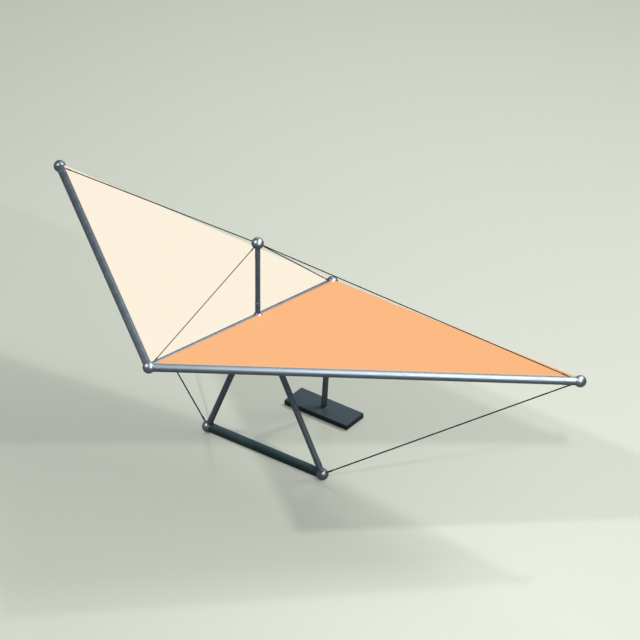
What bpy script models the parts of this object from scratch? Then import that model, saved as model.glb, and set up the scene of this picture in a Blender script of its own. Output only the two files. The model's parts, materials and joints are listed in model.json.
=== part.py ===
"""Hang glider parked on its base bar and tail leg.

Frame: +X to the pilot's left (the orange half), +Y from nose to tail, +Z up, floor at z = 0,
origin below the middle of the whole glider. Metres.
"""

import math

import bmesh
import bpy
from mathutils import Matrix, Vector

# Airframe layout: distances aft of the nose ball's centre, heights above the floor
HALF_SPAN = 3.408
TIP_AFT = 2.955
TIP_HEIGHT = 1.802
NOSE_HEIGHT = 2.198
KEEL_END_AFT = 3.196
KEEL_END_HEIGHT = 1.559
HUB_AFT = 1.894
KINGPOST_REACH = 0.922
BAR_HALF_WIDTH = 0.750
BAR_AFT = 2.019
CROSSBAR_SHARE = 0.56

# Balls and tubes, by radius, and the tubes' walls
BALL_RADIUS = 0.065
HUB_RADIUS = 0.056
LEADING_EDGE_RADIUS = 0.0435
KEEL_RADIUS = 0.038
KINGPOST_RADIUS = 0.026
DOWNTUBE_RADIUS = 0.0325
BASE_BAR_RADIUS = 0.052
CROSSBAR_RADIUS = 0.020
LEG_RADIUS = 0.031
UPPER_STAY_RADIUS = 0.0050
LOWER_STAY_RADIUS = 0.0080
TUBE_WALL = 0.003

# Sails: a lift of their middle above the plane of the tubes' axes, and a notch for the upper
# stay, whose distances are from the wingtip ball's centre along the leading edge
SAIL_LIFT = 0.0305
SAIL_THICKNESS = 0.004
NOTCH_NEAR = 0.080
NOTCH_FAR = 0.152
NOTCH_SIDE = UPPER_STAY_RADIUS + 0.002
NOTCH_DEPTH = 0.020

# Tail leg: foot plate, fork and pin; distances along the leg are from the keel end ball
PLATE_WIDTH = 0.817
PLATE_DEPTH = 0.300
PLATE_THICKNESS = 0.060
PLATE_EDGE = 0.004
PLATE_AFT = 3.053
PIVOT_DROP = 0.115
FORK_DROP = 0.142
FORK_SLOT_DROP = 0.078
FORK_HALF_WIDTH = 0.042
FORK_HALF_DEPTH = 0.030
FORK_SLOT_HALF_WIDTH = 0.0335
PIN_RADIUS = 0.010
PIN_HEAD_RADIUS = 0.016
PIN_HEAD_LENGTH = 0.007

# Neighbours that meet keep this gap; a pin turns in its bore with the second one, and the
# leg's knuckle stands clear of the fork's cheeks by the third
GAP = 0.0003
PIN_PLAY = 0.0007
KNUCKLE_PLAY = 0.0015

# Width of the blocks that part the downtubes where they meet on the keel
MITRE_BLOCK = 1.0

SIDES = 20
STAY_SIDES = 8
BALL_RINGS = 12
SHARP_ANGLE = math.radians(40)

NOSE_Y = -(KEEL_END_AFT + 2 * BALL_RADIUS) / 2 + BALL_RADIUS
SIDES_OF_CRAFT = (("left", 1), ("right", -1))

# Finishes: name, colour, roughness, metallic
FINISHES = {
    "tube": ((0.102, 0.133, 0.159, 1.0), 0.42, 0.85),
    "ball": ((0.085, 0.110, 0.130, 1.0), 0.22, 0.90),
    "grip": ((0.024, 0.033, 0.036, 1.0), 0.70, 0.0),
    "plate": ((0.045, 0.070, 0.077, 1.0), 0.55, 0.30),
    "wire": ((0.040, 0.050, 0.045, 1.0), 0.45, 0.80),
    "orange_sail": ((0.955, 0.479, 0.227, 1.0), 0.75, 0.0),
    "cream_sail": ((0.970, 0.870, 0.708, 1.0), 0.75, 0.0),
}


def point(x, aft, height):
    return Vector((x, NOSE_Y + aft, height))


def mirrored(place, side):
    return Vector((side * place.x, place.y, place.z))


NOSE = point(0, 0, NOSE_HEIGHT)
TIP = point(HALF_SPAN, TIP_AFT, TIP_HEIGHT)
KEEL_END = point(0, KEEL_END_AFT, KEEL_END_HEIGHT)
HUB = NOSE.lerp(KEEL_END, HUB_AFT / KEEL_END_AFT)
KINGPOST_TOP = HUB + Vector((0, 0, KINGPOST_REACH))
BAR_END = point(BAR_HALF_WIDTH, BAR_AFT, BALL_RADIUS)
CROSSBAR_END = NOSE.lerp(TIP, CROSSBAR_SHARE)
PLATE_MIDDLE = point(0, PLATE_AFT, PLATE_THICKNESS / 2)
LEG_FOOT = point(0, PLATE_AFT, PLATE_THICKNESS)
LEG_DOWN = (LEG_FOOT - KEEL_END).normalized()
PIVOT = KEEL_END + LEG_DOWN * PIVOT_DROP


def clear_scene():
    for thing in list(bpy.data.objects):
        bpy.data.objects.remove(thing)


def make_finish(name):
    colour, roughness, metallic = FINISHES[name]
    finish = bpy.data.materials.new(name)
    finish.use_nodes = True
    shader = finish.node_tree.nodes["Principled BSDF"]
    shader.inputs["Base Color"].default_value = colour
    shader.inputs["Roughness"].default_value = roughness
    shader.inputs["Metallic"].default_value = metallic
    finish.diffuse_color = colour
    return finish


def add_object(name, bm, finish=None):
    """A finish makes a piece of the glider; without one the object only cuts others."""
    bmesh.ops.recalc_face_normals(bm, faces=bm.faces[:])
    mesh = bpy.data.meshes.new(name)
    bm.to_mesh(mesh)
    bm.free()
    thing = bpy.data.objects.new(name, mesh)
    bpy.context.scene.collection.objects.link(thing)
    if finish is None:
        thing.hide_render = True
        thing.display_type = "WIRE"
    else:
        mesh.materials.append(finish)
        mesh.shade_smooth()
        mesh.set_sharp_from_angle(angle=SHARP_ANGLE)
    return thing


def combine(piece, operation, others):
    for other in others:
        change = piece.modifiers.new(other.name, "BOOLEAN")
        change.operation = operation
        change.solver = "EXACT"
        change.object = other


def cut(piece, *cutters):
    combine(piece, "DIFFERENCE", cutters)


def fuse(piece, *additions):
    combine(piece, "UNION", additions)


def ball(name, centre, radius, finish=None):
    bm = bmesh.new()
    bmesh.ops.create_uvsphere(bm, u_segments=SIDES, v_segments=BALL_RINGS, radius=radius)
    thing = add_object(name, bm, finish)
    thing.location = centre
    return thing


def pull_out(bm, reach):
    """Turns the flat faces of a profile into a solid that reaches this far."""
    grown = bmesh.ops.extrude_face_region(bm, geom=bm.faces[:])
    far = [part for part in grown["geom"] if isinstance(part, bmesh.types.BMVert)]
    bmesh.ops.translate(bm, verts=far, vec=reach)


def tube(name, start, end, radius, finish=None, wall=None, sides=SIDES):
    """A round bar from start to end, or a tube open at both ends where it has a wall."""
    bm = bmesh.new()
    bmesh.ops.create_circle(bm, cap_ends=wall is None, radius=radius, segments=sides)
    if wall is not None:
        bmesh.ops.create_circle(bm, cap_ends=False, radius=radius - wall, segments=sides)
        bmesh.ops.bridge_loops(bm, edges=bm.edges[:])
    pull_out(bm, (0, 0, (end - start).length))
    thing = add_object(name, bm, finish)
    thing.location = start
    thing.rotation_mode = "QUATERNION"
    thing.rotation_quaternion = (end - start).to_track_quat("Z", "Y")
    return thing


def seat_depth(ball_radius, tube_radius):
    """How far from a ball's centre a tube ends whose bore, between flats, rests on the ball."""
    bore = (tube_radius - TUBE_WALL) * math.cos(math.pi / SIDES)
    return math.sqrt((ball_radius + GAP) ** 2 - bore**2)


def seated_tube(name, start, end, radius, finish, start_ball=None, end_ball=None):
    """A tube between two centres, cut square where its rim rests on a ball of the given radius."""
    along = (end - start).normalized()
    if start_ball:
        start = start + along * seat_depth(start_ball, radius)
    if end_ball:
        end = end - along * seat_depth(end_ball, radius)
    return tube(name, start, end, radius, finish, TUBE_WALL)


def block(name, centre, size, finish=None, turn=Matrix.Identity(3), edge=0.0):
    bm = bmesh.new()
    bmesh.ops.create_cube(bm, size=1.0)
    bmesh.ops.scale(bm, verts=bm.verts[:], vec=size)
    if edge:
        bmesh.ops.bevel(
            bm, geom=bm.edges[:], offset=edge, segments=1, profile=0.5, affect="EDGES", material=-1
        )
    thing = add_object(name, bm, finish)
    thing.location = centre
    thing.rotation_mode = "QUATERNION"
    thing.rotation_quaternion = turn.to_quaternion()
    return thing


def flat_panel(name, corners, thickness, finish=None):
    """A sheet of this thickness, half of it on either side of the corners' plane."""
    bm = bmesh.new()
    across = (corners[1] - corners[0]).cross(corners[2] - corners[0]).normalized()
    bm.faces.new([bm.verts.new(corner - across * thickness / 2) for corner in corners])
    pull_out(bm, across * thickness)
    return add_object(name, bm, finish)


def make_ball_spaces():
    """Cutters a gap larger than the balls, which shape whatever ends on a ball."""
    places = {
        "nose": (NOSE, BALL_RADIUS),
        "keel_end": (KEEL_END, BALL_RADIUS),
        "hub": (HUB, HUB_RADIUS),
        "kingpost": (KINGPOST_TOP, BALL_RADIUS),
    }
    for label, side in SIDES_OF_CRAFT:
        places["tip_" + label] = (mirrored(TIP, side), BALL_RADIUS)
        places["bar_" + label] = (mirrored(BAR_END, side), BALL_RADIUS)
    return {
        key: ball("space_ball_" + key, centre, radius + GAP)
        for key, (centre, radius) in places.items()
    }


def make_tube_spaces():
    """Solid cutters a gap larger than the tubes that others end on."""
    runs = {
        "keel": (NOSE, KEEL_END, KEEL_RADIUS),
        "base_bar": (mirrored(BAR_END, -1), BAR_END, BASE_BAR_RADIUS),
    }
    for label, side in SIDES_OF_CRAFT:
        tip = mirrored(TIP, side)
        runs["leading_edge_" + label] = (NOSE, tip, LEADING_EDGE_RADIUS)
    return {
        key: tube("space_tube_" + key, start, end, radius + GAP)
        for key, (start, end, radius) in runs.items()
    }


def make_balls(finish, runs):
    ball("nose_ball", NOSE, BALL_RADIUS, finish)
    ball("keel_end_ball", KEEL_END, BALL_RADIUS, finish)
    ball("kingpost_ball", KINGPOST_TOP, BALL_RADIUS, finish)
    hub = ball("hub_ball", HUB, HUB_RADIUS, finish)
    cut(hub, runs["keel"])
    for label, side in SIDES_OF_CRAFT:
        ball("wingtip_ball_" + label, mirrored(TIP, side), BALL_RADIUS, finish)
        ball("base_bar_ball_" + label, mirrored(BAR_END, side), BALL_RADIUS, finish)


def make_wing_tubes(finish, spaces, runs):
    for label, side in SIDES_OF_CRAFT:
        tip = mirrored(TIP, side)
        name = "leading_edge_" + label
        seated_tube(name, NOSE, tip, LEADING_EDGE_RADIUS, finish, BALL_RADIUS, BALL_RADIUS)
        end = mirrored(CROSSBAR_END, side)
        crossbar = seated_tube("crossbar_" + label, HUB, end, CROSSBAR_RADIUS, finish, HUB_RADIUS)
        cut(crossbar, runs[name])
    keel = seated_tube("keel", NOSE, KEEL_END, KEEL_RADIUS, finish, end_ball=BALL_RADIUS)
    cut(keel, spaces["nose"], runs["leading_edge_left"], runs["leading_edge_right"])


def make_control_frame(finish, grip, spaces, runs):
    halves = {}
    for label, side in SIDES_OF_CRAFT:
        middle = Vector((-side * (MITRE_BLOCK - GAP) / 2, HUB.y, HUB.z))
        halves[label] = block("space_mitre_" + label, middle, [MITRE_BLOCK] * 3)
    for label, side in SIDES_OF_CRAFT:
        foot = mirrored(BAR_END, side)
        downtube = tube("downtube_" + label, HUB, foot, DOWNTUBE_RADIUS, finish, TUBE_WALL)
        cut(downtube, halves[label], spaces["hub"], runs["keel"])
        cut(downtube, spaces["bar_" + label], runs["base_bar"])
    far_end = mirrored(BAR_END, -1)
    seated_tube("base_bar", far_end, BAR_END, BASE_BAR_RADIUS, grip, BALL_RADIUS, BALL_RADIUS)
    seated_tube("kingpost", HUB, KINGPOST_TOP, KINGPOST_RADIUS, finish, HUB_RADIUS, BALL_RADIUS)


def make_stays(finish, spaces, runs):
    """Taut wires from ball to ball, each cut where it meets a ball or a tube."""
    # Name, start, end, radius, the balls at its ends and the tube beside its far end
    stays = [
        ("nose_stay", KINGPOST_TOP, NOSE, UPPER_STAY_RADIUS, ["kingpost", "nose"], "keel"),
        ("tail_stay", KINGPOST_TOP, KEEL_END, UPPER_STAY_RADIUS, ["kingpost", "keel_end"], "keel"),
    ]
    for label, side in SIDES_OF_CRAFT:
        tip = mirrored(TIP, side)
        corner = mirrored(BAR_END, side)
        upper_ends = ["kingpost", "tip_" + label]
        lower_ends = ["bar_" + label, "tip_" + label]
        edge = "leading_edge_" + label
        stays += [
            ("upper_stay_" + label, KINGPOST_TOP, tip, UPPER_STAY_RADIUS, upper_ends, edge),
            ("lower_stay_" + label, corner, tip, LOWER_STAY_RADIUS, lower_ends, edge),
        ]
    for name, start, end, radius, ends, beside in stays:
        stay = tube(name, start, end, radius, finish, sides=STAY_SIDES)
        cut(stay, *[spaces[key] for key in ends], runs[beside])


def make_notch(label, side, lift):
    """Cutter for the place near the wingtip where the upper stay comes up through the sail."""
    tip = mirrored(TIP, side) + lift
    inward = (NOSE - mirrored(TIP, side)).normalized()
    upright = lift.normalized()
    stay = (KINGPOST_TOP - mirrored(TIP, side)).normalized()
    flat_stay = stay - upright * stay.dot(upright)
    sideways = (flat_stay - inward * flat_stay.dot(inward)).normalized()
    slope = flat_stay.dot(sideways) / flat_stay.dot(inward)
    corners = [
        tip + inward * NOTCH_NEAR,
        tip + inward * NOTCH_FAR,
        tip + inward * NOTCH_FAR + sideways * (NOTCH_FAR * slope + NOTCH_SIDE),
        tip + inward * NOTCH_NEAR + sideways * (NOTCH_NEAR * slope + NOTCH_SIDE),
    ]
    return flat_panel("space_notch_" + label, corners, NOTCH_DEPTH)


def make_sails(finishes, spaces, runs):
    """Each half is a flat sheet over the tubes, trimmed to the tubes and balls it lies on."""
    for label, side in SIDES_OF_CRAFT:
        tip = mirrored(TIP, side)
        lift = (tip - NOSE).cross(KEEL_END - NOSE).normalized() * SAIL_LIFT
        if lift.z < 0:
            lift = -lift
        corners = [place + lift for place in (NOSE, tip, KEEL_END)]
        sail = flat_panel("sail_" + label, corners, SAIL_THICKNESS, finishes[label])
        cut(sail, runs["keel"], runs["leading_edge_" + label])
        cut(sail, spaces["nose"], spaces["tip_" + label], spaces["keel_end"], spaces["hub"])
        cut(sail, make_notch(label, side, lift))


def make_tail_leg(finish, plate_finish, spaces):
    """The leg folds forward on a pin in a fork under the keel end ball."""
    hinge = bpy.data.objects.new("tail_leg_axis", None)
    bpy.context.scene.collection.objects.link(hinge)
    hinge.location = PIVOT
    up = -LEG_DOWN
    turn = Matrix((Vector((1, 0, 0)), up.cross(Vector((1, 0, 0))), up)).transposed()

    fork_top = BALL_RADIUS / 2
    fork_middle = KEEL_END + LEG_DOWN * (fork_top + FORK_DROP) / 2
    fork_size = (2 * FORK_HALF_WIDTH, 2 * FORK_HALF_DEPTH, FORK_DROP - fork_top)
    fork = block("tail_leg_fork", fork_middle, fork_size, finish, turn)
    slot_length = 2 * (FORK_DROP - FORK_SLOT_DROP)
    slot_middle = KEEL_END + LEG_DOWN * (FORK_SLOT_DROP + slot_length / 2)
    slot_size = (2 * FORK_SLOT_HALF_WIDTH, 4 * FORK_HALF_DEPTH, slot_length)
    slot = block("space_fork_slot", slot_middle, slot_size, turn=turn)
    across = Vector((2 * FORK_HALF_WIDTH, 0, 0))
    bore = tube("space_pin", PIVOT - across, PIVOT + across, PIN_RADIUS + PIN_PLAY)
    cut(fork, spaces["keel_end"], slot, bore)

    reach = Vector((FORK_HALF_WIDTH + GAP, 0, 0))
    head = Vector((PIN_HEAD_LENGTH, 0, 0))
    pin = tube("tail_leg_pin", PIVOT - reach - head, PIVOT + reach + head, PIN_RADIUS, finish)
    for label, side in SIDES_OF_CRAFT:
        inner = PIVOT + side * reach
        fuse(pin, tube("space_pin_head_" + label, inner, inner + side * head, PIN_HEAD_RADIUS))

    leg = tube("tail_leg", PIVOT, LEG_FOOT + LEG_DOWN * PLATE_THICKNESS / 2, LEG_RADIUS, finish)
    eye = Vector((FORK_SLOT_HALF_WIDTH - KNUCKLE_PLAY, 0, 0))
    fuse(leg, tube("space_knuckle", PIVOT - eye, PIVOT + eye, LEG_RADIUS - GAP))
    plate_space = block(
        "space_plate", PLATE_MIDDLE, (PLATE_WIDTH, PLATE_DEPTH, PLATE_THICKNESS + 2 * GAP)
    )
    cut(leg, plate_space, bore)
    plate = block(
        "foot_plate",
        PLATE_MIDDLE,
        (PLATE_WIDTH, PLATE_DEPTH, PLATE_THICKNESS),
        plate_finish,
        edge=PLATE_EDGE,
    )
    for piece in (leg, plate):
        piece.parent = hinge
        piece.matrix_parent_inverse = Matrix.Translation(-PIVOT)


def main():
    clear_scene()
    finish = {name: make_finish(name) for name in FINISHES}
    spaces = make_ball_spaces()
    runs = make_tube_spaces()
    make_balls(finish["ball"], runs)
    make_wing_tubes(finish["tube"], spaces, runs)
    make_control_frame(finish["tube"], finish["grip"], spaces, runs)
    make_stays(finish["wire"], spaces, runs)
    make_sails({"left": finish["orange_sail"], "right": finish["cream_sail"]}, spaces, runs)
    make_tail_leg(finish["tube"], finish["plate"], spaces)


main()
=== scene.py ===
"""Looks of a parked hang glider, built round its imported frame.

Frame: +X to the pilot's left (the orange half), +Y from nose to tail, +Z up, floor at z = 0.
Metres. Each part of a piece is modelled at its own origin, where the finishes read it as the
attribute "own", and is then moved to its place in the piece's mesh.
"""

import json
import math
from contextlib import contextmanager

import bmesh
import bpy
from bpy.props import FloatProperty, FloatVectorProperty, IntProperty, PointerProperty
from bpy.types import Operator, Panel, PropertyGroup
from mathutils import Matrix, Vector

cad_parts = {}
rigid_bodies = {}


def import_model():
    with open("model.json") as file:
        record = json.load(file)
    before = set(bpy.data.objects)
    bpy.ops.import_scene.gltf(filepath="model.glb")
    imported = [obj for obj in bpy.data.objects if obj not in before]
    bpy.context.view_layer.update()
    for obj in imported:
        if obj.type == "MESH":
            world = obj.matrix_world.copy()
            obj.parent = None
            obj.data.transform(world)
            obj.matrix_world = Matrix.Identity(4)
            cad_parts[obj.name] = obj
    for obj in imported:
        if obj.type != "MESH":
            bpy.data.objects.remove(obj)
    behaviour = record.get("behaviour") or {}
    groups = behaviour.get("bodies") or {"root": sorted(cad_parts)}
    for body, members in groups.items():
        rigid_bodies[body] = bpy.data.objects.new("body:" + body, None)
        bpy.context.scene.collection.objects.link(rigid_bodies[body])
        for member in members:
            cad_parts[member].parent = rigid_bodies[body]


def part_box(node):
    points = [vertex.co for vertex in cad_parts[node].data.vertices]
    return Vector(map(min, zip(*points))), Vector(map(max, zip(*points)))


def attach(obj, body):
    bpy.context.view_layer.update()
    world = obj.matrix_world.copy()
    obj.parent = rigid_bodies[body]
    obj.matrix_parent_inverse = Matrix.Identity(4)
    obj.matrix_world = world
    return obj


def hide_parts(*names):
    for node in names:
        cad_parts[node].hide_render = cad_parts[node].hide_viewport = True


bl_info = {
    "name": "Parked hang glider",
    "version": (1, 0, 0),
    "blender": (4, 5, 0),
    "location": "3D View > Sidebar > Hang glider",
    "description": "Builds the looks of a parked hang glider round its packed frame",
    "category": "Object",
}

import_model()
AIRFRAME = "airframe"
TAIL_STAND = "tail_stand"
LABELS = ("left", "right")
SAIL_COLOURS = (("left", "orange"), ("right", "cream"))


def box_middle(node):
    low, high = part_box(node)
    return (low + high) / 2


def half_height(node):
    low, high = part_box(node)
    return (high.z - low.z) / 2


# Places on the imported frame
NOSE = box_middle("nose_ball")
KEEL_END = box_middle("keel_end_ball")
HUB = box_middle("hub_ball")
KINGPOST_TOP = box_middle("kingpost_ball")
PIVOT = box_middle("tail_leg_pin")
TIPS = {label: box_middle("wingtip_ball_" + label) for label in LABELS}
BAR_ENDS = {label: box_middle("base_bar_ball_" + label) for label in LABELS}
BALL_RADIUS = half_height("nose_ball")
HUB_RADIUS = half_height("hub_ball")
BASE_BAR_RADIUS = half_height("base_bar")
PLATE_LOW, PLATE_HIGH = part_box("foot_plate")
LEG_FOOT = Vector((0, box_middle("foot_plate").y, PLATE_HIGH.z))
LEG_UP = (PIVOT - LEG_FOOT).normalized()

ACROSS = Vector((1, 0, 0))
UP = Vector((0, 0, 1))
# How far the end of a tube runs into its ball
HIDDEN = 0.006


def figure(name, description, default, **kind):
    return FloatProperty(name=name, description=description, default=default, **kind)


def metres(name, description, default):
    return figure(name, description, default, unit="LENGTH")


def triple(name, description, default, subtype="COLOR"):
    return FloatVectorProperty(
        name=name, description=description, default=default, subtype=subtype
    )


class GliderSizes(PropertyGroup):
    """Sizes of the finished pieces."""

    leading_edge: metres("Leading edge", "Radius of the leading edge tubes", 0.0435)
    keel: metres("Keel", "Radius of the keel tube", 0.040)
    kingpost: metres("Kingpost", "Radius of the kingpost", 0.027)
    downtube: metres("Downtube", "Radius of the control frame's uprights", 0.0325)
    crossbar: metres("Crossbar", "Radius of the crossbars", 0.020)
    crossbar_share: figure(
        "Crossbar place", "Share of the leading edge inboard of the crossbar", 0.56,
        subtype="FACTOR",
    )
    leg: metres("Tail leg", "Radius of the tail leg", 0.031)
    nose_stay: metres("Nose stay", "Radius of the stay at the nose", 0.0050)
    upper_stay: metres("Upper stay", "Radius of the other stays above the wing", 0.0062)
    lower_stay: metres("Lower stay", "Radius of the stays below the wing", 0.0080)
    wire_lay: metres("Wire lay", "Length of one turn of a strand", 0.075)
    sleeve_length: metres("Sleeve length", "Length of the sleeve at each end of a tube", 0.14)
    sleeve_proud: metres("Sleeve wall", "How far a sleeve stands proud of its tube", 0.0010)
    bead: metres("Weld bead", "Radius of the bead where a tube meets a ball", 0.0042)
    rivet: metres("Rivet", "Radius of a rivet's head", 0.0060)
    sail_lift: metres("Sail lift", "Height of the cloth above the tubes' axes", 0.0305)
    cloth: metres("Cloth", "Thickness of the sailcloth", 0.0010)
    cloth_inset: metres("Cloth inset", "How far the cloth's edge runs into the tubes", 0.003)
    ripple: metres("Ripple", "Height of the cloth's tension ripples", 0.0009)
    hem: metres("Hem", "Width of the hem along the trailing edge", 0.038)
    seam: metres("Seam", "Width of the seams between panels", 0.016)
    panels: IntProperty(
        name="Panels", description="Number of panels in each half of the sail",
        default=4, min=1,
    )
    patch: metres("Corner patch", "Reach of the patches at the sail's corners", 0.26)
    round_sides: IntProperty(
        name="Round sides", description="Number of sides of round pieces", default=64, min=8
    )


class GliderColours(PropertyGroup):
    """Colours of the finishes."""

    tube: triple("Tubes", "Slate coat of the tubes", (0.128, 0.157, 0.180))
    ball: triple("Balls", "Dark steel of the corner balls", (0.155, 0.179, 0.198))
    grip: triple("Base bar", "Dark sleeve of the base bar", (0.045, 0.090, 0.098))
    plate: triple("Foot plate", "Dark coat of the foot plate", (0.096, 0.146, 0.170))
    wire: triple("Stays", "Dark metal of the stays", (0.026, 0.030, 0.027))
    orange: triple("Left sail", "Cloth of the sail on the pilot's left", (0.930, 0.455, 0.205))
    cream: triple("Right sail", "Cloth of the sail on the pilot's right", (0.930, 0.830, 0.670))
    bare_metal: triple("Bare metal", "Metal that shows where a coat is worn", (0.42, 0.44, 0.45))
    cloth_bounce: triple("Cloth bounce", "Tint of light that cloth scatters", (0.64, 0.66, 0.64))
    floor_bounce: triple(
        "Floor bounce", "Tint of light that the floor scatters", (0.12, 0.13, 0.13)
    )
    cloth_mirrored: triple("Mirrored cloth", "Cloth as metal mirrors it", (0.22, 0.24, 0.25))
    floor_mirrored: triple("Mirrored floor", "Floor as metal mirrors it", (0.40, 0.42, 0.44))
    floor: triple("Floor", "Pale studio floor", (0.725, 0.758, 0.662))


class StudioSettings(PropertyGroup):
    """Camera and lights."""

    azimuth: figure(
        "Azimuth", "Turn of the camera from straight ahead",
        math.radians(36.722), subtype="ANGLE",
    )
    elevation: figure(
        "Elevation", "Angle of the camera above the horizon",
        math.radians(33.760), subtype="ANGLE",
    )
    distance: metres("Distance", "Distance of the camera from its target", 280.213)
    lens: figure("Lens", "Focal length in millimetres", 1500.0)
    target: triple(
        "Target", "Point that the camera looks at", (0.0, 1.3848, 1.1939), subtype="TRANSLATION"
    )
    floor_width: metres("Floor width", "Width of the studio floor", 160.0)
    ambient: figure("Ambient light", "Strength of the light from all round", 0.19)
    mirrored_sky: figure("Mirrored sky", "Strength of that light as metal mirrors it", 0.38)
    cloth_light: figure("Cloth light", "Strength of the even light on the cloth", 2.90)
    floor_light: figure("Floor light", "Strength of the even light on the floor", 0.465)
    lamp_target: triple(
        "Lamp target", "Point that the lamps face", (0.0, 0.3, 1.0), subtype="TRANSLATION"
    )


# Node trees


class NodeSheet:
    """Adds nodes to a tree and joins them."""

    def __init__(self, tree):
        self.tree = tree

    def feed(self, node, values):
        """Gives a node's inputs their values, or joins them to the outputs among the values."""
        for socket, value in values.items():
            if isinstance(value, bpy.types.NodeSocket):
                self.tree.links.new(value, node.inputs[socket])
            else:
                node.inputs[socket].default_value = value

    def add(self, kind, values=None, **settings):
        made = self.tree.nodes.new(kind)
        row, column = divmod(len(self.tree.nodes), 8)
        made.location = (180 * column, -260 * row)
        for name, value in settings.items():
            setattr(made, name, value)
        self.feed(made, values or {})
        return made

    def math(self, operation, *values):
        return self.add("ShaderNodeMath", dict(enumerate(values)), operation=operation).outputs[0]

    def times(self, *values):
        return self.math("MULTIPLY", *values)

    def noise(self, vector, scale, detail):
        values = {"Vector": vector, "Scale": scale, "Detail": detail}
        return self.add("ShaderNodeTexNoise", values).outputs["Fac"]

    def span(self, value, low, high, to_low=0.0, to_high=1.0):
        values = {0: value, 1: low, 2: high, 3: to_low, 4: to_high}
        return self.add("ShaderNodeMapRange", values).outputs[0]

    def blend(self, share, first, second):
        values = {0: share, 6: first, 7: second}
        return self.add("ShaderNodeMix", values, data_type="RGBA").outputs[2]

    def bump(self, height, distance):
        values = {"Height": height, "Distance": distance, "Strength": 1.0}
        return self.add("ShaderNodeBump", values).outputs["Normal"]

    def parts(self, vector):
        return self.add("ShaderNodeSeparateXYZ", {"Vector": vector}).outputs

    def group(self, fill, vector, **values):
        """The outputs of a shared node group that reads this vector."""
        values["Vector"] = vector
        return self.add("ShaderNodeGroup", values, node_tree=shader_group(fill)).outputs

    def by_ray(self, seen, scattered, mirrored):
        """A colour as it is seen, as it tints the light it scatters, and as metal mirrors it."""
        rays = self.add("ShaderNodeLightPath").outputs
        direct = self.blend(rays["Is Diffuse Ray"], seen, opaque(scattered))
        return self.blend(rays["Is Glossy Ray"], direct, opaque(mirrored))


def opaque(colour, factor=1.0):
    return (*(channel * factor for channel in colour), 1.0)


def fine_grain(sheet, inputs):
    """Fine grain on a surface, and slow changes over it."""
    fine = sheet.noise(inputs["Vector"], inputs["Scale"], 3.0)
    broad_scale = sheet.times(inputs["Scale"], 0.04)
    return {"Fine": fine, "Broad": sheet.noise(inputs["Vector"], broad_scale, 2.0)}


def drawn_lines(sheet, inputs):
    """Lines along a drawn tube, whose length is its own Z."""
    values = {0: inputs["Vector"], 1: (1.0, 1.0, 0.02)}
    stretched = sheet.add("ShaderNodeVectorMath", values, operation="MULTIPLY").outputs[0]
    return {"Lines": sheet.noise(stretched, inputs["Scale"], 3.0)}


def worn_edges(sheet, inputs):
    """Broken marks on the faces that the attribute "worn" picks out."""
    edge = sheet.add("ShaderNodeAttribute", attribute_name="worn").outputs["Fac"]
    broken = sheet.span(sheet.noise(inputs["Vector"], inputs["Scale"], 4.0), 0.48, 0.66)
    return {"Mask": sheet.times(edge, broken)}


def settled_dust(sheet, inputs):
    """Dust on what faces up, thicker in places, and what faces up as a mask, with which the matt
    finishes paint light on top and shade on the sides.
    """
    normal = sheet.add("ShaderNodeTexCoord").outputs["Normal"]
    facing = sheet.span(sheet.parts(normal)["Z"], 0.35, 1.0)
    patches = sheet.span(sheet.noise(inputs["Vector"], 7.0, 4.0), 0.35, 0.75)
    dust = sheet.times(facing, patches)
    return {"Mask": sheet.times(dust, inputs["Amount"]), "Facing": facing}


def plain_weave(sheet, inputs):
    """Threads over and under each other, with a thicker thread now and then."""
    own = sheet.parts(inputs["Vector"])
    waves = []
    thick = []
    for axis in ("X", "Y"):
        phase = sheet.times(own[axis], math.pi)
        waves.append(sheet.math("SINE", sheet.times(phase, inputs["Threads"])))
        ribs = sheet.math("SINE", sheet.times(phase, inputs["Ribs"]))
        thick.append(sheet.span(sheet.math("ABSOLUTE", ribs), 0.10, 0.0))
    crossed = sheet.math("ABSOLUTE", sheet.times(*waves))
    return {"Threads": crossed, "Ribs": sheet.math("MAXIMUM", *thick)}


def stitch_rows(sheet, inputs):
    """Two rows of stitches either side of a strip's middle line, along its own X."""
    own = sheet.parts(inputs["Vector"])
    across = sheet.math("SUBTRACT", sheet.math("ABSOLUTE", own["Y"]), inputs["Row"])
    in_row = sheet.math("LESS_THAN", sheet.math("ABSOLUTE", across), 0.0008)
    along = sheet.math("FRACT", sheet.math("DIVIDE", own["X"], inputs["Pitch"]))
    return {"Stitches": sheet.times(in_row, sheet.math("LESS_THAN", along, 0.62))}


# What fills each node group, and the defaults of its inputs besides "Vector"
GROUPS = {
    fine_grain: {"Scale": 400.0},
    drawn_lines: {"Scale": 300.0},
    worn_edges: {"Scale": 120.0},
    settled_dust: {"Amount": 0.1},
    plain_weave: {"Threads": 900.0, "Ribs": 120.0},
    stitch_rows: {"Row": 0.005, "Pitch": 0.004},
}


def shader_group(fill):
    """The node group that this function fills, built when it is first asked for."""
    name = fill.__name__.replace("_", " ")
    found = bpy.data.node_groups.get(name)
    if found:
        return found
    tree = bpy.data.node_groups.new(name, "ShaderNodeTree")
    tree.interface.new_socket("Vector", in_out="INPUT", socket_type="NodeSocketVector")
    for label, value in GROUPS[fill].items():
        socket = tree.interface.new_socket(label, in_out="INPUT", socket_type="NodeSocketFloat")
        socket.default_value = value
    sheet = NodeSheet(tree)
    results = fill(sheet, sheet.add("NodeGroupInput").outputs)
    for label in results:
        tree.interface.new_socket(label, in_out="OUTPUT", socket_type="NodeSocketFloat")
    sheet.add("NodeGroupOutput", results)
    return tree


# Finishes: each returns values for the inputs of its material's shader


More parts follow.
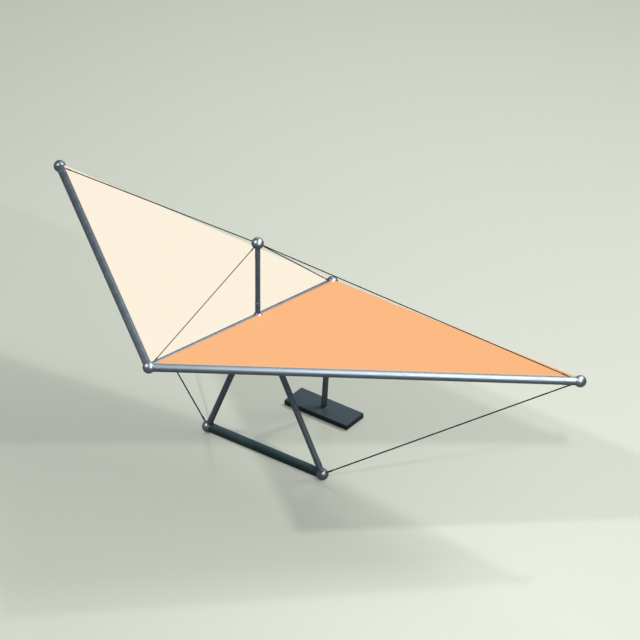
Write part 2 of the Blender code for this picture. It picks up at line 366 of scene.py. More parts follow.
def metal_finish(sheet, own, colour, colours, metallic, roughness):
    """Coated or polished metal: drawn lines, broad smudges and bright worn edges."""
    lines = sheet.group(drawn_lines, own)["Lines"]
    broad = sheet.group(fine_grain, own, Scale=260.0)["Broad"]
    worn = sheet.group(worn_edges, own)["Mask"]
    varied = sheet.blend(lines, opaque(colour, 0.92), opaque(colour, 1.08))
    return {
        "Base Color": sheet.blend(worn, varied, opaque(colours.bare_metal)),
        "Metallic": metallic,
        "Roughness": sheet.span(broad, 0.3, 0.7, roughness * 0.88, roughness * 1.12),
        "Normal": sheet.bump(lines, 0.00004),
    }


def matt_finish(
    sheet, own, colour, colours, grain, dust, shaded, lit, roughness, specular, height, wear=None
):
    """Pebbled sleeve or coat, with painted light on top and painted shade on its sides, dusty
    and, with wear, bare along its edges.
    """
    pebbles = sheet.group(fine_grain, own, Scale=grain)
    dust_and_light_masks = sheet.group(settled_dust, own, Amount=dust)
    # Painted light and shade: the colour times lit where the surface faces up, times shaded on
    # the sides
    painted_light_and_shade = sheet.blend(dust_and_light_masks["Facing"], opaque(colour, shaded), opaque(colour, lit))
    varied = sheet.blend(pebbles["Fine"], painted_light_and_shade, opaque(colour, 0.9))
    seen = sheet.blend(dust_and_light_masks["Mask"], varied, opaque(colours.floor, 0.7))
    if wear:
        worn = sheet.group(worn_edges, own, Scale=60.0)["Mask"]
        seen = sheet.blend(sheet.times(worn, wear), seen, opaque(colours.bare_metal))
    return {
        "Base Color": seen,
        "Roughness": sheet.span(pebbles["Broad"], 0.3, 0.7, roughness, 0.62),
        "Specular IOR Level": specular,
        "Normal": sheet.bump(pebbles["Fine"], height),
    }


def cloth_finish(sheet, own, colour, colours, stitch_row=None):
    """Tightly woven sailcloth; sewn strips also have rows of stitches."""
    weave = sheet.group(plain_weave, own)
    grain = sheet.group(fine_grain, own, Scale=90.0)
    woven = sheet.blend(weave["Threads"], opaque(colour, 0.985), opaque(colour))
    varied = sheet.blend(grain["Broad"], woven, opaque(colour, 0.99))
    height = sheet.math("ADD", weave["Threads"], weave["Ribs"])
    if stitch_row:
        stitches = sheet.group(stitch_rows, own, Row=stitch_row)["Stitches"]
        varied = sheet.blend(stitches, varied, opaque(colour, 0.93))
        height = sheet.math("ADD", height, sheet.times(stitches, 4.0))
    return {
        "Base Color": sheet.by_ray(varied, colours.cloth_bounce, colours.cloth_mirrored),
        "Roughness": sheet.span(grain["Fine"], 0.3, 0.7, 0.70, 0.80),
        "Sheen Weight": 0.05,
        "Specular IOR Level": 0.25,
        "Normal": sheet.bump(height, 0.00008),
    }


def floor_finish(sheet, own, colour, colours):
    """Matt studio floor with a barely visible grain."""
    grain = sheet.group(fine_grain, own, Scale=60.0)
    varied = sheet.blend(grain["Fine"], opaque(colour, 0.992), opaque(colour, 1.008))
    return {
        "Base Color": sheet.by_ray(varied, colours.floor_bounce, colours.floor_mirrored),
        "Roughness": sheet.span(grain["Broad"], 0.3, 0.7, 0.86, 0.94),
        "Specular IOR Level": 0.1,
    }


# Settings of the two matt finishes; shaded and lit scale the colour for painted shade on the
# sides and painted light on top
GRIP = dict(
    grain=520.0, dust=0.02, shaded=0.35, lit=2.6, roughness=0.52, specular=0.25, height=0.0003
)
PLATE_COAT = dict(
    grain=380.0, dust=0.008, shaded=0.12, lit=1.1, roughness=0.50, specular=0.15, height=0.0002,
    wear=0.12,
)
# The function that makes each finish, the name of its colour, and its settings
FINISHES = {
    "tube coat": (metal_finish, "tube", {"metallic": 1.0, "roughness": 0.52}),
    "polished steel": (metal_finish, "ball", {"metallic": 1.0, "roughness": 0.42}),
    "wire steel": (metal_finish, "wire", {"metallic": 0.3, "roughness": 0.50}),
    "moulded grip": (matt_finish, "grip", GRIP),
    "plate coat": (matt_finish, "plate", PLATE_COAT),
    "studio floor": (floor_finish, "floor", {}),
}
for _, cloth_colour in SAIL_COLOURS:
    FINISHES[cloth_colour + " cloth"] = (cloth_finish, cloth_colour, {})
    FINISHES[cloth_colour + " seam"] = (cloth_finish, cloth_colour, {"stitch_row": 0.005})
    FINISHES[cloth_colour + " hem"] = (cloth_finish, cloth_colour, {"stitch_row": 0.015})


def material_of(name):
    """The material of this name, made when it is first asked for."""
    found = bpy.data.materials.get(name)
    if found:
        return found
    finish, colour, settings = FINISHES[name]
    colours = bpy.context.scene.glider_colours
    made = bpy.data.materials.new(name)
    made.use_nodes = True
    sheet = NodeSheet(made.node_tree)
    own = sheet.add("ShaderNodeAttribute", attribute_name="own").outputs["Vector"]
    values = finish(sheet, own, getattr(colours, colour), colours, **settings)
    sheet.feed(made.node_tree.nodes["Principled BSDF"], values)
    return made


# Mesh parts


def new_mesh():
    bm = bmesh.new()
    bm.verts.layers.float_vector.new("own")
    bm.faces.layers.float.new("worn")
    return bm


@contextmanager
def placed(bm, place=Matrix.Identity(4), own_spot=None):
    """A new part, modelled inside this block at the origin, which then joins bm at its place."""
    part = new_mesh()
    yield part
    own = part.verts.layers.float_vector["own"]
    for vert in part.verts:
        vert[own] = own_spot(vert.co) if own_spot else vert.co
    bmesh.ops.transform(part, matrix=place, verts=part.verts[:])
    mesh = bpy.data.meshes.new("part")
    part.to_mesh(mesh)
    part.free()
    bm.from_mesh(mesh)
    bpy.data.meshes.remove(mesh)


def pointed(start, direction, side=None):
    """Place whose Z runs along direction from start; side, if given, leads its X."""
    turn = direction.to_track_quat("Z", "Y").to_matrix()
    if side is not None:
        z = direction.normalized()
        x = (side - z * side.dot(z)).normalized()
        turn = Matrix((x, z.cross(x), z)).transposed()
    return Matrix.Translation(start) @ turn.to_4x4()


def turned(part, outline, sides, closed=False):
    """Spins an outline of (radius, height) points round Z; a closed one makes a ring."""
    verts = [part.verts.new((radius, 0, height)) for radius, height in outline]
    pairs = list(zip(verts, verts[1:])) + ([(verts[-1], verts[0])] if closed else [])
    edges = [part.edges.new(pair) for pair in pairs]
    bmesh.ops.spin(
        part, geom=verts + edges, cent=(0, 0, 0), axis=UP, dvec=(0, 0, 0),
        angle=math.tau, steps=sides, use_merge=True, use_duplicate=False,
    )
    bmesh.ops.remove_doubles(part, verts=part.verts[:], dist=0.000001)


def add_turned(bm, place, outline, sides, closed=False):
    with placed(bm, place) as part:
        turned(part, outline, sides, closed)


def arc(middle, radius, start, end, steps):
    """Points of an arc round a (radius, height) middle, angles in degrees from outwards."""
    x, y = middle
    angles = [math.radians(start + (end - start) * step / steps) for step in range(steps + 1)]
    return [(x + radius * math.cos(angle), y + radius * math.sin(angle)) for angle in angles]


def ball_outline(radius):
    inner = arc((0, 0), radius, -90, 90, 32)
    return [(0, -radius), *inner[1:-1], (0, radius)]


def bead_outline(distance, height, radius):
    """A closed round section at this distance from the axis."""
    return arc((distance, height), radius, 0, 330, 11)


def both_ends(outline, span):
    """An outline, then its mirror image with its heights taken from span."""
    return outline + [(radius, span - height) for radius, height in reversed(outline)]


def drawn_out(part, faces, shift):
    """Extrudes faces by this shift."""
    grown = bmesh.ops.extrude_face_region(part, geom=faces)
    moved = [side for side in grown["geom"] if isinstance(side, bmesh.types.BMVert)]
    bmesh.ops.translate(part, verts=moved, vec=shift)


def round_edges(part, edges, offset, segments, wear=1.0):
    """Rounds edges of a part, and marks the new faces with their wear."""
    rounded = bmesh.ops.bevel(
        part, geom=edges, offset=offset, segments=segments, profile=0.5, affect="EDGES",
        material=-1,
    )
    worn = part.faces.layers.float["worn"]
    for face in rounded["faces"]:
        face[worn] = wear


def seat(ball, tube):
    """Distance from a ball's centre at which a tube of this radius comes out of it."""
    return math.sqrt(ball**2 - tube**2)


def add_object(name, data):
    made = bpy.data.objects.new(name, data)
    bpy.context.scene.collection.objects.link(made)
    return made


def add_mesh(name, bm, finish_name):
    mesh = bpy.data.meshes.new(name)
    bm.to_mesh(mesh)
    bm.free()
    mesh.materials.append(material_of(finish_name))
    return add_object(name, mesh)


def add_piece(name, bm, finish_name, *nodes, body=AIRFRAME):
    """A piece in the slot of its finish, which dresses these nodes."""
    bmesh.ops.recalc_face_normals(bm, faces=bm.faces[:])
    piece = add_mesh(name, bm, finish_name)
    piece.data.shade_smooth()
    piece.data.set_sharp_from_angle(angle=math.radians(35))
    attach(piece, body)
    if nodes:
        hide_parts(*nodes)
    return piece


def add_rivets(bm, place, radius, height, rivet, count=4):
    """Domed heads round a tube of this radius, at this height along it."""
    head = [(0, 0.0022), (rivet * 0.55, 0.0018), (rivet * 0.9, 0.0009), (rivet, 0), (0, -0.0006)]
    outward = Matrix.Translation((radius - 0.0004, 0, height))
    upright = Matrix.Rotation(math.pi / 2, 4, "Y")
    for number in range(count):
        around = Matrix.Rotation(math.tau * (number + 0.5) / count, 4, "Z")
        add_turned(bm, place @ around @ outward @ upright, head, 12)


def sleeved_tube(bm, start, end, radius, first, last, sizes):
    """A tube from first to last, measured from start towards end, sleeved and riveted."""
    place = pointed(start, end - start)
    thick = radius + sizes.sleeve_proud
    low = first + sizes.sleeve_length
    high = last - sizes.sleeve_length
    outline = [
        (0, first), (thick, first), (thick, low - sizes.sleeve_proud), (radius, low),
        (radius, high), (thick, high + sizes.sleeve_proud), (thick, last), (0, last),
    ]
    add_turned(bm, place, outline, sizes.round_sides)
    rivet_inset = 0.022
    for height in (low - rivet_inset, high + rivet_inset):
        add_rivets(bm, place, thick, height, sizes.rivet)


def add_tube(node, start, end, radius, sizes, start_ball=BALL_RADIUS):
    """A tube from one ball to another, which dresses this node."""
    bm = new_mesh()
    first = seat(start_ball, radius) - HIDDEN
    last = (end - start).length - seat(BALL_RADIUS, radius) + HIDDEN
    sleeved_tube(bm, start, end, radius, first, last, sizes)
    add_piece(node + "_tube", bm, "tube coat", node)


class GliderOperator(Operator):
    """Base of the operators that add pieces."""

    bl_options = {"REGISTER", "UNDO"}

    def execute(self, context):
        self.add_pieces(context.scene.glider_sizes)
        return {"FINISHED"}


class GLIDER_OT_balls(GliderOperator):
    """Add the balls at the airframe's corners, with a bead round each tube that enters them"""

    bl_idname = "glider.add_balls"
    bl_label = "Corner balls"

    def add_pieces(self, sizes):
        keel_ends = [(NOSE, sizes.keel), (KEEL_END, sizes.keel)]
        # The far end and the radius of each tube that enters a ball
        entries = {
            "nose_ball": keel_ends[1:],
            "keel_end_ball": keel_ends[:1],
            "hub_ball": keel_ends + [(KINGPOST_TOP, sizes.kingpost)],
            "kingpost_ball": [(HUB, sizes.kingpost)],
        }
        for label, other in (LABELS, LABELS[::-1]):
            joint = NOSE.lerp(TIPS[label], sizes.crossbar_share)
            entries["nose_ball"].append((TIPS[label], sizes.leading_edge))
            entries["hub_ball"] += [(joint, sizes.crossbar), (BAR_ENDS[label], sizes.downtube)]
            entries["wingtip_ball_" + label] = [(NOSE, sizes.leading_edge)]
            entries["base_bar_ball_" + label] = [
                (HUB, sizes.downtube), (BAR_ENDS[other], BASE_BAR_RADIUS)
            ]
        for node, tubes in entries.items():
            centre = box_middle(node)
            radius = HUB_RADIUS if node == "hub_ball" else BALL_RADIUS
            bm = new_mesh()
            add_turned(bm, Matrix.Translation(centre), ball_outline(radius), sizes.round_sides)
            for far_end, tube in tubes:
                thick = tube + sizes.sleeve_proud
                ring = bead_outline(thick, seat(radius, thick), sizes.bead)
                place = pointed(centre, far_end - centre)
                add_turned(bm, place, ring, sizes.round_sides, closed=True)
            add_piece(node + "_fitting", bm, "polished steel", node)


class GLIDER_OT_wing_tubes(GliderOperator):
    """Add the leading edges, the keel and the crossbars"""

    bl_idname = "glider.add_wing_tubes"
    bl_label = "Wing tubes"

    def add_pieces(self, sizes):
        for label in LABELS:
            add_tube("leading_edge_" + label, NOSE, TIPS[label], sizes.leading_edge, sizes)
            self.add_crossbar(label, sizes)
        add_tube("keel", NOSE, KEEL_END, sizes.keel, sizes)

    def add_crossbar(self, label, sizes):
        """A tube from the hub that ends in a waisted lug inside the leading edge."""
        joint = NOSE.lerp(TIPS[label], sizes.crossbar_share)
        length = (joint - HUB).length
        first = seat(HUB_RADIUS, sizes.crossbar) - HIDDEN
        clear = 0.006
        last = length - sizes.leading_edge - sizes.crossbar - clear
        lug_end = length - 0.5 * sizes.leading_edge
        wide, narrow = sizes.crossbar * 0.8, sizes.crossbar * 0.5
        lug = [
            (0, last - 0.01), (wide, last - 0.01), (wide, last + 0.008), (narrow, last + 0.020),
            (narrow, lug_end), (0, lug_end),
        ]
        bm = new_mesh()
        sleeved_tube(bm, HUB, joint, sizes.crossbar, first, last, sizes)
        add_turned(bm, pointed(HUB, joint - HUB), lug, 32)
        node = "crossbar_" + label
        add_piece(node + "_tube", bm, "tube coat", node)


class GLIDER_OT_control_frame(GliderOperator):
    """Add the kingpost, the uprights and the sleeved base bar"""

    bl_idname = "glider.add_control_frame"
    bl_label = "Kingpost and control frame"

    def add_pieces(self, sizes):
        add_tube("kingpost", HUB, KINGPOST_TOP, sizes.kingpost, sizes, HUB_RADIUS)
        for label in LABELS:
            far_end = BAR_ENDS[label]
            add_tube("downtube_" + label, HUB, far_end, sizes.downtube, sizes, HUB_RADIUS)
        start, end = BAR_ENDS["right"], BAR_ENDS["left"]
        wall, clear, shoulder = 0.006, 0.004, 0.005
        core = BASE_BAR_RADIUS - wall
        first = seat(BALL_RADIUS, core) - HIDDEN
        sleeve = seat(BALL_RADIUS, BASE_BAR_RADIUS) + clear
        outline = [(0, first), (core, first), (core, sleeve)]
        outline += arc((BASE_BAR_RADIUS - shoulder, sleeve + shoulder), shoulder, -90, 0, 5)
        outline = both_ends(outline, (end - start).length)
        bm = new_mesh()
        add_turned(bm, pointed(start, end - start, UP), outline, sizes.round_sides)
        add_piece("base_bar_sleeve", bm, "moulded grip", "base_bar")


class SailHalf:
    """Shape of one half of the sail, in its own flat coordinates: X along the trailing edge from
    the keel end to the tip, Y forward to the nose, Z up."""

    def __init__(self, label, colour, sizes):
        self.label, self.colour, self.sizes = label, colour, sizes
        tip = TIPS[label]
        self.upward = (tip - NOSE).cross(KEEL_END - NOSE).normalized()
        self.upward *= math.copysign(1, self.upward.z)
        lift = self.upward * sizes.sail_lift
        x = (tip - KEEL_END).normalized()
        y = self.upward.cross(x)
        y *= math.copysign(1, y.dot(NOSE - KEEL_END))
        turn = Matrix((x, y, self.upward)).transposed().to_4x4()
        self.place = Matrix.Translation(KEEL_END + lift) @ turn
        back = self.place.inverted()
        self.keel_end, self.tip, self.nose = (
            (back @ (corner + lift)).to_2d() for corner in (KEEL_END, tip, NOSE)
        )
        self.middle = (self.keel_end + self.tip + self.nose) / 3
        trailing = (self.keel_end, (self.tip - self.keel_end).normalized())
        self.keel_line = self.tube_line(self.keel_end, sizes.keel)
        self.front_line = self.tube_line(self.tip, sizes.leading_edge)
        # Corners of the cloth: at the keel end, the tip and the nose
        lines = (self.keel_line, trailing, self.front_line, self.keel_line)
        self.corners = [crossing(first, second) for first, second in zip(lines, lines[1:])]

    def inward(self, start, along):
        """The direction across a line, towards the middle of the sail."""
        across = Vector((-along.y, along.x))
        return across if across.dot(self.middle - start) > 0 else -across

    def moved_in(self, line, offset):
        """A line, as a point and a direction, moved towards the middle of the sail."""
        start, along = line
        return start + self.inward(start, along) * offset, along

    def tube_line(self, end, radius):
        """Where the cloth ends on the tube from the nose to this end, a little inside it."""
        offset = math.sqrt(radius**2 - self.sizes.sail_lift**2) - self.sizes.cloth_inset
        return self.moved_in((self.nose, (end - self.nose).normalized()), offset)

    def ripple(self, x, y):
        """Height of the tension ripples, which fade towards the tubes and corners."""
        wave_length, slant, reach = 0.52, 0.35, 0.35 * self.nose.y
        fade = max(0.0, math.sin(math.pi * min(1.0, max(0.0, x / self.tip.x))))
        fade *= math.exp(-max(0.0, y) / reach)
        return self.sizes.ripple * fade * math.sin(math.tau * (x / wave_length + slant * y))

    def shape(self, part, place=Matrix.Identity(4)):
        """Lifts a part, which will move to this place in the sail's plane, onto the ripples."""
        for vert in part.verts:
            spot = place @ vert.co
            vert.co.z += self.ripple(spot.x, spot.y)

    def add_part(self, part, bm, kind, *nodes):
        """Moves what is modelled in the flat coordinates to its place, as a piece."""
        bmesh.ops.transform(bm, matrix=self.place, verts=bm.verts[:])
        return add_piece(f"sail_{self.label}_{part}", bm, f"{self.colour} {kind}", *nodes)


def crossing(first, second):
    """Where two lines, each a point and a direction, meet."""
    (start, along), (other, across) = first, second
    spread = along.x * across.y - along.y * across.x
    share = ((other.x - start.x) * across.y - (other.y - start.y) * across.x) / spread
    return start + along * share


def strip(bm, start, end, width, thickness, half, steps):
    """A flat strip with rounded edges along a line of a sail's plane, which follows the cloth."""
    along = end - start
    place = Matrix.Translation((start + along / 2).to_3d())
    place = place @ Matrix.Rotation(math.atan2(along.y, along.x), 4, "Z")

    def lengthwise():
        return [edge for edge in part.edges if edge.calc_length() > along.length - width]

    with placed(bm, place) as part:
        bmesh.ops.create_cube(part, size=1.0)
        bmesh.ops.scale(part, verts=part.verts[:], vec=(along.length, width, thickness))
        round_edges(part, lengthwise(), thickness * 0.3, 2, wear=0.0)
        bmesh.ops.subdivide_edges(part, edges=lengthwise(), cuts=steps - 1)
        half.shape(part, place)


class GLIDER_OT_sails(GliderOperator):
    """Add the two halves of the sail, as cloth held by the tubes"""

    bl_idname = "glider.add_sails"
    bl_label = "Sails"

    def add_pieces(self, sizes):
        for label, colour in SAIL_COLOURS:
            half = SailHalf(label, colour, sizes)
            bm = new_mesh()
            with placed(bm) as part:
                part.faces.new([part.verts.new((*corner, 0)) for corner in half.corners])
                bmesh.ops.subdivide_edges(part, edges=part.edges[:], cuts=63, use_grid_fill=True)
                half.shape(part)
                bmesh.ops.translate(part, verts=part.verts[:], vec=(0, 0, sizes.cloth / 2))
                bmesh.ops.solidify(part, geom=part.faces[:], thickness=sizes.cloth)
            half.add_part("cloth", bm, "cloth", "sail_" + label)


class GLIDER_OT_sail_trim(GliderOperator):
    bl_idname = "glider.add_sail_trim"
    bl_label = "Sail trim"

    def add_pieces(self, sizes):
        for label, colour in SAIL_COLOURS:
            half = SailHalf(label, colour, sizes)
            steps = (
                self.add_hem, self.add_seams, self.add_welts, self.add_patches, self.add_eyelet
            )
            trim = [step(half, sizes) for step in steps]

    def add_hem(self, half, sizes):
        bm = new_mesh()
        keel_corner, tip_corner, _ = half.corners
        overhang, keel_gap, tip_gap = 0.0006, 0.012, 0.030
        middle = sizes.hem / 2 - overhang
        start = keel_corner + Vector((keel_gap, middle))
        end = tip_corner + Vector((-tip_gap, middle))
        strip(bm, start, end, sizes.hem, sizes.cloth * 2.4, half, 96)
        return half.add_part("hem", bm, "hem")

    def add_seams(self, half, sizes):
        step_length = 0.036
        bm = new_mesh()
        for number in range(1, sizes.panels):
            level = (Vector((0, half.nose.y * number / sizes.panels)), Vector((1, 0)))
            start = crossing(half.keel_line, level)
            end = crossing(level, half.front_line)
            steps = max(8, round((end - start).length / step_length))
            strip(bm, start, end, sizes.seam, sizes.cloth * 1.7, half, steps)
        return half.add_part("seams", bm, "seam")

    def add_welts(self, half, sizes):
        """Bolt ropes where the cloth meets the leading edge and the keel."""
        bm = new_mesh()
        clear, inset, rope = 0.080, 0.0045, 0.0026
        for corner, line in ((half.tip, half.front_line), (half.keel_end, half.keel_line)):
            start, along = half.moved_in(line, inset)
            near = start + along * (along.dot(half.nose - start) + clear)
            place = pointed(Vector((*near, sizes.cloth * 0.5)), along.to_3d())
            outline = [(0, 0), (rope * 0.7, 0.0004), (rope, 0.002)]
            length = (corner - half.nose).length - 2 * clear
            add_turned(bm, place, both_ends(outline, length), 12)
        return half.add_part("welts", bm, "cloth")

    def add_patches(self, half, sizes):
        """Sectors of doubled cloth at the three corners, above and below."""
        bm = new_mesh()
        for corner in (half.keel_end, half.tip, half.nose):
            for surface in (1, -1):
                self.add_patch(bm, half, corner, surface, sizes)
        return half.add_part("patches", bm, "seam")

    def add_patch(self, bm, half, corner, surface, sizes):
        """A sector on one side of the cloth, cut along its edges."""

        def round_the_corner(spot):
            spoke = spot.to_2d() - corner
            turn = math.atan2(spoke.y, spoke.x)
            return Vector((sizes.patch * turn, spoke.length - sizes.patch, 0))

        lines = [half.moved_in(line, 0.004) for line in (half.keel_line, half.front_line)]
        lines.append((half.keel_end + Vector((0, 0.0012)), Vector((1, 0))))
        with placed(bm, own_spot=round_the_corner) as part:
            bmesh.ops.create_circle(part, cap_ends=True, radius=sizes.patch, segments=96)
            bmesh.ops.inset_region(part, faces=part.faces[:], thickness=0.03)
            bmesh.ops.translate(part, verts=part.verts[:], vec=(*corner, 0))
            for start, along in lines:
                bmesh.ops.bisect_plane(
                    part, geom=part.verts[:] + part.edges[:] + part.faces[:], dist=0.000001,
                    plane_co=(*start, 0), plane_no=(*-half.inward(start, along), 0),
                    clear_outer=True,
                )
            bmesh.ops.triangulate(part, faces=part.faces[:])
            half.shape(part)
            bottom = surface * sizes.cloth * 0.55
            bmesh.ops.translate(part, verts=part.verts[:], vec=(0, 0, bottom))
            drawn_out(part, part.faces[:], (0, 0, surface * sizes.cloth * 0.45))

    def add_eyelet(self, half, sizes):
        """Long eyelet where the upper stay goes through the cloth to the wingtip."""
        tip = TIPS[half.label]
        stay = (KINGPOST_TOP - tip).normalized()
        hole = tip + stay * sizes.sail_lift / stay.dot(half.upward)
        bm = new_mesh()
        with placed(bm, pointed(hole, half.upward, stay)) as part:
            turned(part, bead_outline(0.010, 0, 0.0016), 40, closed=True)
            bmesh.ops.scale(part, verts=part.verts[:], vec=(2.6, 1, 1))
        return add_piece(f"sail_{half.label}_eyelet", bm, "polished steel")


class GLIDER_OT_stays(GliderOperator):
    """Add the taut wire stays with a pressed ferrule and a stud at each end"""

    bl_idname = "glider.add_stays"
    bl_label = "Stays"

    def add_pieces(self, sizes):
        upper, lower = sizes.upper_stay, sizes.lower_stay
        # Name, start, end, radius, and how far from the start its ferrule begins
        runs = [
            ("nose_stay", NOSE, KINGPOST_TOP, sizes.nose_stay, 0.118),
            ("tail_stay", KEEL_END, KINGPOST_TOP, upper, 0.110),
        ]
        for label in LABELS:
            runs.append(("upper_stay_" + label, TIPS[label], KINGPOST_TOP, upper, 0.165))
            runs.append(("lower_stay_" + label, TIPS[label], BAR_ENDS[label], lower, 0.100))
        for node, start, end, radius, first in runs:
            bm = new_mesh()
            last, overlap = BALL_RADIUS + 0.018, 0.02
            wire_end = (end - start).length - last - overlap
            self.add_wire(bm, start, end, radius, first + overlap, wire_end, sizes)
            for near, far, height in ((start, end, first), (end, start, last)):
                add_turned(bm, pointed(near, far - near), self.ferrule(height, radius), 24)
            add_piece(node + "_wire", bm, "wire steel", node)

    def ferrule(self, height, wire):
        """Outline of a pressed ferrule whose stud runs back into the ball."""
        thick = wire + 0.0017
        waist = wire + 0.0011
        return [
            (0, height - 0.055), (wire, height - 0.055), (wire, height),
            (thick, height + 0.001), (thick, height + 0.016), (waist, height + 0.018),
            (thick, height + 0.020), (thick, height + 0.036), (wire, height + 0.044),
            (0, height + 0.044),
        ]

    def add_wire(self, bm, start, end, radius, first, last, sizes):
        """Six strands round each other, as one twisted bar."""
        strands, points, steps_per_turn = 6, 3, 10
        length = last - first
        turns = length / sizes.wire_lay
        steps = round(turns * steps_per_turn)
        with placed(bm, pointed(start, end - start)) as part:
            section = bmesh.ops.create_circle(
                part, cap_ends=True, radius=radius, segments=strands * points
            )["verts"]
            for vert in section:
                angle = math.atan2(vert.co.y, vert.co.x)
                vert.co *= 0.93 + 0.07 * math.cos(strands * angle)
            bmesh.ops.translate(part, verts=section, vec=(0, 0, first))
            faces = list({face for vert in section for face in vert.link_faces})
            bmesh.ops.spin(
                part, geom=faces, cent=(0, 0, 0), axis=UP, dvec=(0, 0, length / steps),
                angle=math.tau * turns, steps=steps, use_merge=False, use_duplicate=False,
            )


class GLIDER_OT_tail_stand(GliderOperator):
    """Add the fork, its pin, the tail leg and the foot plate"""

    bl_idname = "glider.add_tail_stand"
    bl_label = "Tail leg and foot plate"

    def add_pieces(self, sizes):
        self.add_fork()
        self.add_pin()
        self.add_leg(sizes)
        self.add_plate()

    def add_fork(self):
        """Two cheeks under a bridge, with the bridge sunk in the keel end's ball."""
        wide, deep, slot = 0.042, 0.030, 0.0335
        top, slot_top, bottom = -0.055, -0.078, -0.142
        outline = [(wide, top), (wide, bottom), (slot, bottom), (slot, slot_top)]
        outline += [(-x, z) for x, z in reversed(outline)]
        bm = new_mesh()
        with placed(bm, pointed(KEEL_END, LEG_UP, ACROSS)) as part:
            front = part.faces.new([part.verts.new((x, -deep, z)) for x, z in outline])
            drawn_out(part, [front], (0, 2 * deep, 0))
            round_edges(part, part.edges[:], 0.0018, 2)
        add_piece("tail_leg_fork_block", bm, "tube coat", "tail_leg_fork")

    def add_pin(self):
        low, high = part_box("tail_leg_pin")
        end = (low.x - high.x) / 2
        head, shank, lip, socket = 0.016, 0.010, 0.0015, 0.002
        outline = [
            (0, end + socket), (0.005, end + socket), (0.006, end), (head - lip, end),
            (head, end + lip), (head, end + 0.007), (shank, end + 0.007),
        ]
        bm = new_mesh()
        add_turned(bm, pointed(PIVOT, ACROSS), both_ends(outline, 0), 40)
        add_piece("tail_leg_pin_bolt", bm, "polished steel", "tail_leg_pin")

    def add_leg(self, sizes):
        """A bar from the plate, with a weld bead at its foot and a knuckle on the pin."""
        top = (PIVOT - LEG_FOOT).length - 0.012
        bar = [(0, -0.004), (sizes.leg, -0.004), (sizes.leg, top), (0, top)]
        bead = bead_outline(sizes.leg, 0.0015, 0.0030)
        half_width, edge = 0.0318, 0.002
        eye = sizes.leg - 0.0003
        knuckle = [(0, -half_width), (eye - edge, -half_width), (eye, edge - half_width)]
        bm = new_mesh()
        place = pointed(LEG_FOOT, LEG_UP)
        add_turned(bm, place, bar, sizes.round_sides)
        add_turned(bm, place, bead, sizes.round_sides, closed=True)
        add_turned(bm, pointed(PIVOT, ACROSS), both_ends(knuckle, 0), sizes.round_sides)
        add_piece("tail_leg_bar", bm, "tube coat", "tail_leg", body=TAIL_STAND)

    def add_plate(self):
        bm = new_mesh()
        with placed(bm, Matrix.Translation(box_middle("foot_plate"))) as part:
            bmesh.ops.create_cube(part, size=1.0)
            bmesh.ops.scale(part, verts=part.verts[:], vec=PLATE_HIGH - PLATE_LOW)
            round_edges(part, part.edges[:], 0.004, 4)
        add_piece("foot_plate_slab", bm, "plate coat", "foot_plate", body=TAIL_STAND)


# Finishes that have lamps of their own
METALS = ("tube coat", "polished steel")
CLOTHS = tuple(name for name, entry in FINISHES.items() if entry[0] is cloth_finish)
# Name, place, width in metres and power in watts of each lamp
LAMPS = (
    ("side_lamp", (6.20, -1.55, 6.35), 0.29, 150.0),
    ("front_lamp", (-5.86, -7.61, 13.61), 0.70, 575.0),
)
REAR_LAMPS = (
    ("back_lamp", (2.24, 10.27, 15.54), 0.90, 363.0),
    ("corner_lamp", (5.02, 7.64, 10.22), 3.49, 391.0),
    ("tail_lamp", (-4.84, 8.23, 7.86), 1.60, 118.0),
)
METAL_LAMPS = (
    ("tail_glint", (-3.66, 7.32, 8.31), 2.9, 211.0),
    ("side_glint", (6.15, -1.55, 6.29), 1.7, 681.0),
    ("front_glint", (-4.80, -7.44, 11.81), 3.05, 2114.0),
    ("corner_glint", (4.49, 7.24, 10.30), 2.3, 1353.0),
    ("top_glint", (4.6, 1.8, 9.0), 2.5, 900.0),
)
FILL_LAMP = ("fill_lamp", (8.0, -4.0, 8.0), 2.0, 185.0)


def aim(thing, place, back):
    """Puts a lamp or a camera at a place, with its back to this direction."""
    thing.location = place
    thing.rotation_mode = "QUATERNION"
    thing.rotation_quaternion = back.to_track_quat("Z", "Y")


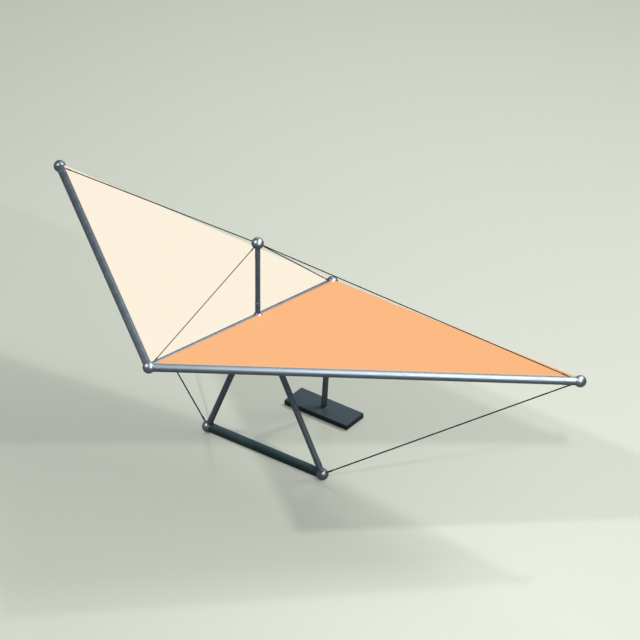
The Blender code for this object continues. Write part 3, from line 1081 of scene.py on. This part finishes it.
class GLIDER_OT_stage(GliderOperator):
    """Add the floor, the lamps and the camera"""

    bl_idname = "glider.add_stage"
    bl_label = "Studio"

    def execute(self, context):
        for step in (self.add_floor, self.add_sky, self.add_lights, self.add_camera):
            step(context.scene.glider_studio)
        return {"FINISHED"}

    def add_floor(self, studio):
        bm = new_mesh()
        with placed(bm) as part:
            bmesh.ops.create_grid(part, x_segments=8, y_segments=8, size=studio.floor_width / 2)
        add_mesh("studio_floor", bm, "studio floor")

    def add_sky(self, studio):
        """Even light from all round, stronger where metal mirrors it."""
        world = bpy.data.worlds.new("studio")
        world.use_nodes = True
        bpy.context.scene.world = world
        sheet = NodeSheet(world.node_tree)
        mirrored = sheet.add("ShaderNodeLightPath").outputs["Is Glossy Ray"]
        strength = sheet.span(mirrored, 0.0, 1.0, studio.ambient, studio.mirrored_sky)
        sheet.feed(
            sheet.tree.nodes["Background"],
            {"Color": (0.94, 0.97, 1.0, 1.0), "Strength": strength},
        )

    def add_lights(self, studio):
        metal = self.group("metal pieces", METALS, "INCLUDE")
        cloth = self.group("cloth pieces", CLOTHS, "INCLUDE")
        floor = self.group("floor", ("studio floor",), "INCLUDE")
        others = self.group("all but metal and cloth", METALS + CLOTHS, "EXCLUDE")
        blockers = self.group("all but the base bar", ("moulded grip",), "EXCLUDE")
        for lamps, receivers in ((LAMPS + REAR_LAMPS, others), (METAL_LAMPS, metal)):
            for lamp in lamps:
                self.add_softbox(studio, *lamp, receivers)
        for name, *_ in REAR_LAMPS:
            bpy.data.objects[name].light_linking.blocker_collection = blockers
        self.add_softbox(studio, *FILL_LAMP, floor).use_shadow = False
        self.add_even_lamp("cloth_light", studio.cloth_light, cloth)
        self.add_even_lamp("floor_light", studio.floor_light, floor)

    def group(self, name, finishes, state):
        """Pieces with these finishes, for lamps to light or cast shadows of only, or never."""
        made = bpy.data.collections.new(name)
        for finish in finishes:
            for piece in bpy.data.objects:
                if piece.type == "MESH" and piece.data.materials.get(finish):
                    made.objects.link(piece)
        for entry in made.collection_objects:
            entry.light_linking.link_state = state
        return made

    def add_lamp(self, name, kind, strength, receivers):
        stand = add_object(name, bpy.data.lights.new(name, kind))
        stand.data.energy = strength
        stand.light_linking.receiver_collection = receivers
        return stand

    def add_softbox(self, studio, name, place, width, power, receivers):
        """A square lamp that faces the lamp target."""
        stand = self.add_lamp(name, "AREA", power, receivers)
        stand.data.shape = "SQUARE"
        stand.data.size = width
        aim(stand, place, Vector(place) - Vector(studio.lamp_target))
        return stand.data

    def add_even_lamp(self, name, strength, receivers):
        """Even light from above that throws no shadow."""
        lamp = self.add_lamp(name, "SUN", strength, receivers).data
        lamp.angle = math.radians(20)
        lamp.use_shadow = False

    def add_camera(self, studio):
        scene = bpy.context.scene
        lens = bpy.data.cameras.new("studio_camera")
        lens.lens = studio.lens
        lens.sensor_width = 36.0
        lens.clip_start = 1.0
        lens.clip_end = 2 * studio.distance
        scene.camera = add_object("studio_camera", lens)
        back = Vector((0, -math.cos(studio.elevation), math.sin(studio.elevation)))
        back = Matrix.Rotation(studio.azimuth, 3, "Z") @ back
        aim(scene.camera, Vector(studio.target) + back * studio.distance, back)
        scene.view_settings.view_transform = "Standard"


STEPS = (
    GLIDER_OT_balls,
    GLIDER_OT_wing_tubes,
    GLIDER_OT_control_frame,
    GLIDER_OT_sails,
    GLIDER_OT_sail_trim,
    GLIDER_OT_stays,
    GLIDER_OT_tail_stand,
    GLIDER_OT_stage,
)


class GLIDER_PT_pieces(Panel):
    """Lists the glider's pieces and their sizes and colours"""

    bl_idname = "GLIDER_PT_pieces"
    bl_label = "Hang glider"
    bl_space_type = "VIEW_3D"
    bl_region_type = "UI"
    bl_category = "Hang glider"

    def draw(self, context):
        for step in STEPS:
            self.layout.operator(step.bl_idname)
        scene = context.scene
        for values in (scene.glider_sizes, scene.glider_colours, scene.glider_studio):
            column = self.layout.column()
            for name in values.bl_rna.properties.keys():
                if name not in ("rna_type", "name"):
                    column.prop(values, name)


CLASSES = (GliderSizes, GliderColours, StudioSettings, *STEPS, GLIDER_PT_pieces)


def register():
    for entry in CLASSES:
        bpy.utils.register_class(entry)
    bpy.types.Scene.glider_sizes = PointerProperty(type=GliderSizes)
    bpy.types.Scene.glider_colours = PointerProperty(type=GliderColours)
    bpy.types.Scene.glider_studio = PointerProperty(type=StudioSettings)


def unregister():
    del bpy.types.Scene.glider_studio
    del bpy.types.Scene.glider_colours
    del bpy.types.Scene.glider_sizes
    for entry in reversed(CLASSES):
        bpy.utils.unregister_class(entry)


def main():
    register()
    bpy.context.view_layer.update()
    for step in STEPS:
        area, action = step.bl_idname.split(".")
        getattr(getattr(bpy.ops, area), action)()


if __name__ == "__main__":
    main()
